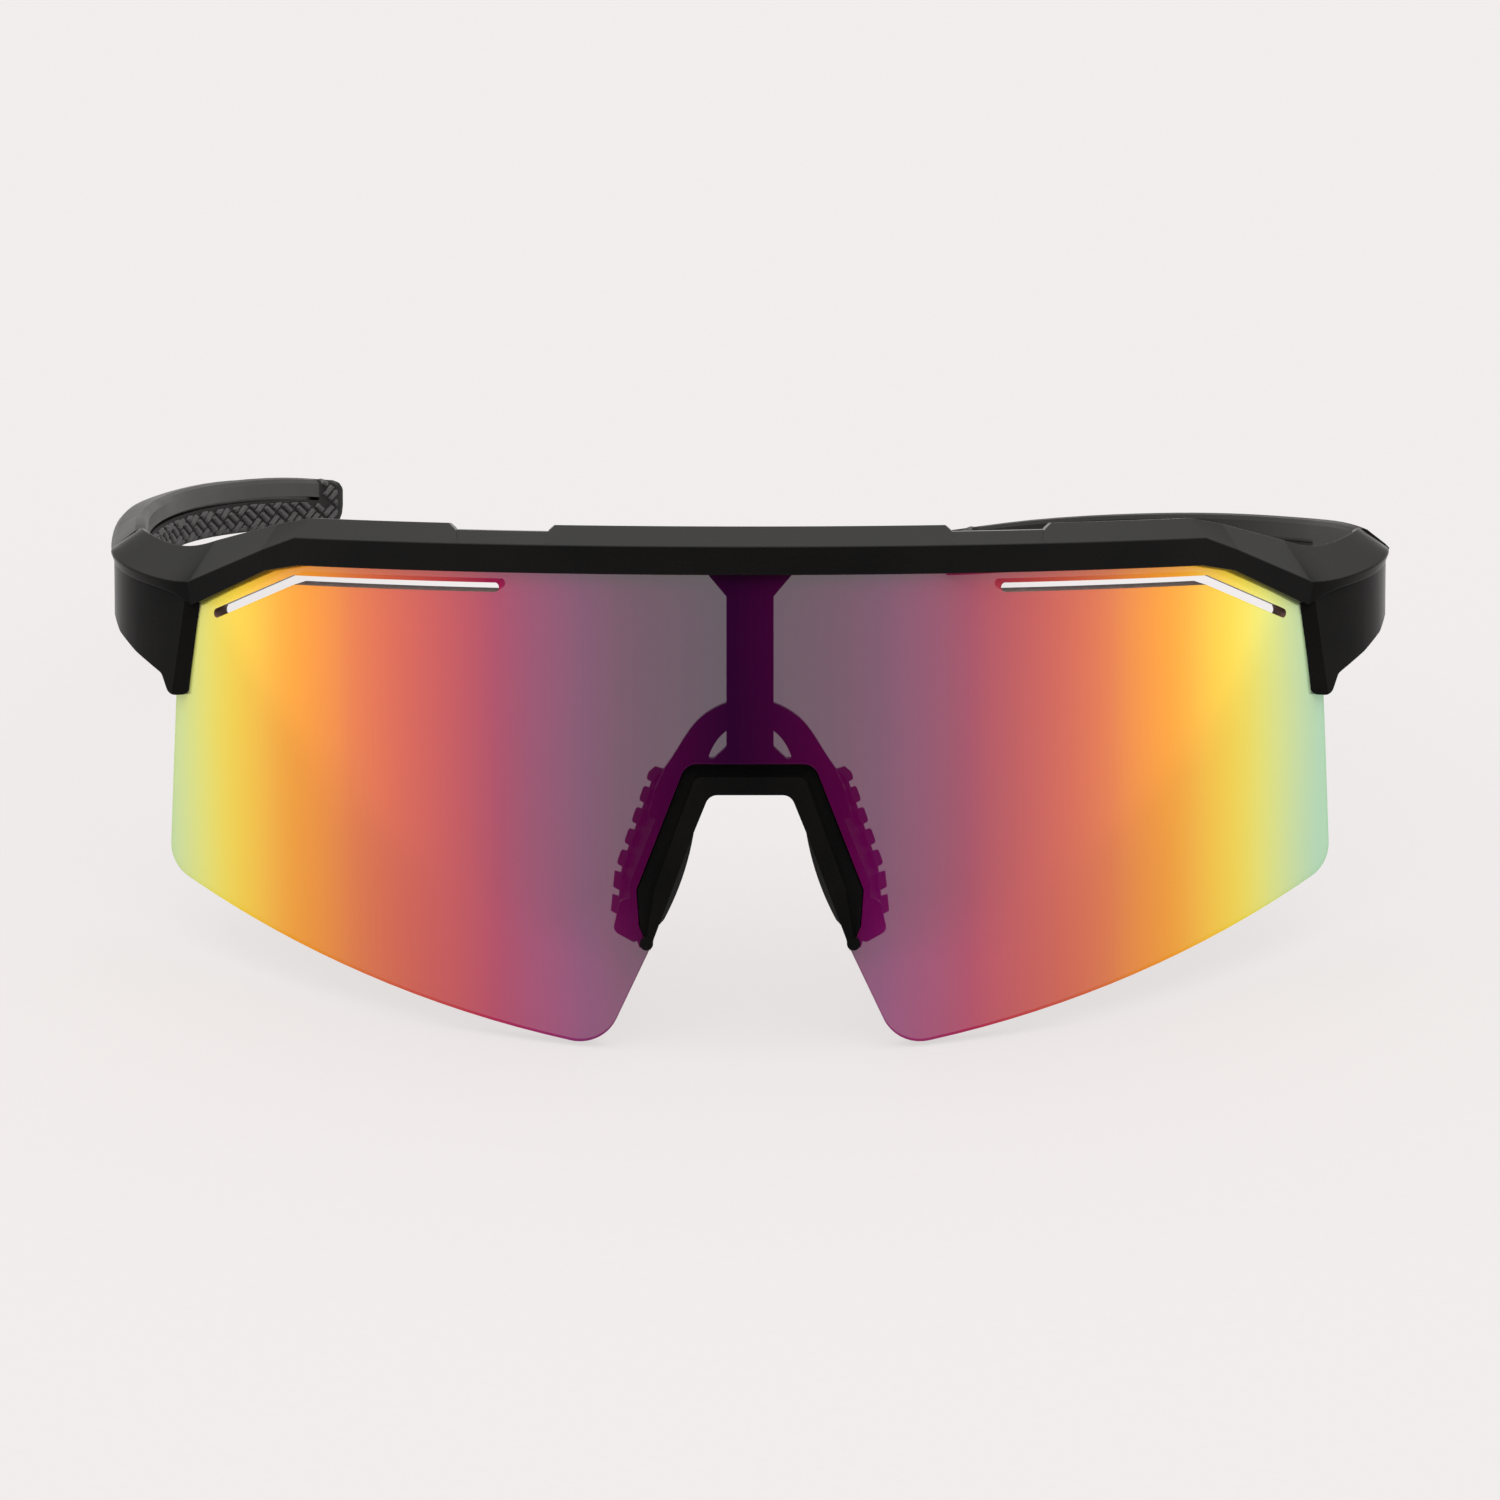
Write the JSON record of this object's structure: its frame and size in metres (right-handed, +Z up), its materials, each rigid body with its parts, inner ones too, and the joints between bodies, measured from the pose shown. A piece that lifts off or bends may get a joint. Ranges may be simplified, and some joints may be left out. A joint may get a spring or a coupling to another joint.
{
  "type": "wraparound sport sunglasses",
  "caption": "Wraparound sport sunglasses: a vented mirrored shield lens in a half-rim brow frame, with ribbed nose pads and folding rubber-lined temples.",
  "frame": {"origin": "on the table under the middle of the glasses' box", "axes": "+Z up off the table, +X to the wearer's left, +Y back towards the ears; the glasses rest on the lens's lower lobes and the left temple's tip"},
  "size_m": [0.1512, 0.162, 0.0566],
  "materials": {
    "frame_black": "satin black injection-moulded nylon",
    "lens_mirror": "smoke polycarbonate with a mirror coating that runs from pale green and gold at the sides to violet in the middle",
    "nose_rubber": "soft black rubber, ribbed",
    "carrier_black": "satin black moulding",
    "temple_black": "satin black injection-moulded nylon",
    "grip_rubber": "black rubber with a woven relief on the inner face",
    "hinge_steel": "stamped stainless steel",
    "screw_steel": "turned stainless steel",
    "nylon": "natural nylon"
  },
  "bodies": {
    "front": {"brow_frame": "frame_black", "shield_lens": "lens_mirror", "nose_carrier": "carrier_black", "nose_pad_left": "nose_rubber", "nose_pad_right": "nose_rubber", "hinge_front_leaf_left": "hinge_steel", "hinge_front_leaf_right": "hinge_steel", "hinge_screw_left": "screw_steel", "hinge_screw_right": "screw_steel", "hinge_washer_upper_left": "nylon", "hinge_washer_upper_right": "nylon", "hinge_washer_lower_left": "nylon", "hinge_washer_lower_right": "nylon"},
    "left_temple": {"temple_arm_left": "temple_black", "temple_grip_left": "grip_rubber", "hinge_temple_leaf_left": "hinge_steel", "hinge_bushing_left": "nylon"},
    "right_temple": {"temple_arm_right": "temple_black", "temple_grip_right": "grip_rubber", "hinge_temple_leaf_right": "hinge_steel", "hinge_bushing_right": "nylon"}
  },
  "joints": [
    {"name": "left_temple_fold", "type": "hinge", "parent": "front", "child": "left_temple", "pos_m": [0.07071, -0.03004, 0.03625], "axis": [-0.2079, 0.2848, 0.9358], "range_deg": [-16, 60]},
    {"name": "right_temple_fold", "type": "hinge", "parent": "front", "child": "right_temple", "pos_m": [-0.06969, -0.03004, 0.03625], "axis": [-0.2079, -0.2848, -0.9358], "range_deg": [0, 88]}
  ]
}
